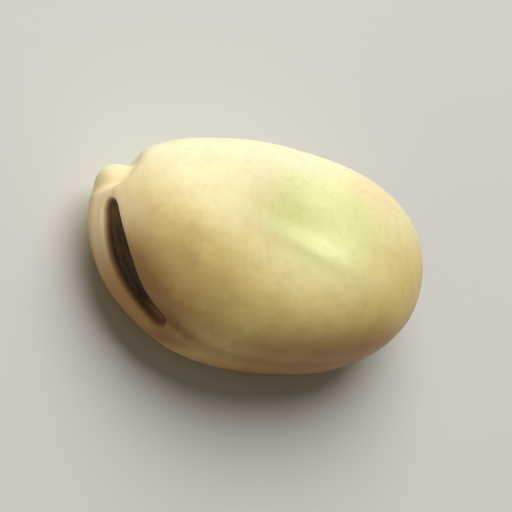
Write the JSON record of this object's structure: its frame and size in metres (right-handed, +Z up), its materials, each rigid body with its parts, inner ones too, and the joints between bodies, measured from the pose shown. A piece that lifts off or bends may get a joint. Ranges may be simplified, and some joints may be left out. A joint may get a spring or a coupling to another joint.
{
  "type": "broad bean",
  "caption": "Dried broad bean seed with its long dark hilum and raised lips at one end, lying on its broad side as food, filler or set dressing.",
  "frame": {"origin": "middle of the bean's box, on the surface that it lies on", "axes": "+X along the bean's length, away from the hilum; +Y along its width, away from the valley between the halves; +Z up through its thickness"},
  "size_m": [0.0242, 0.0152, 0.0091],
  "materials": {
    "skin": "satin"
  },
  "bodies": {
    "root": {"broad_bean": "skin"}
  },
  "joints": []
}
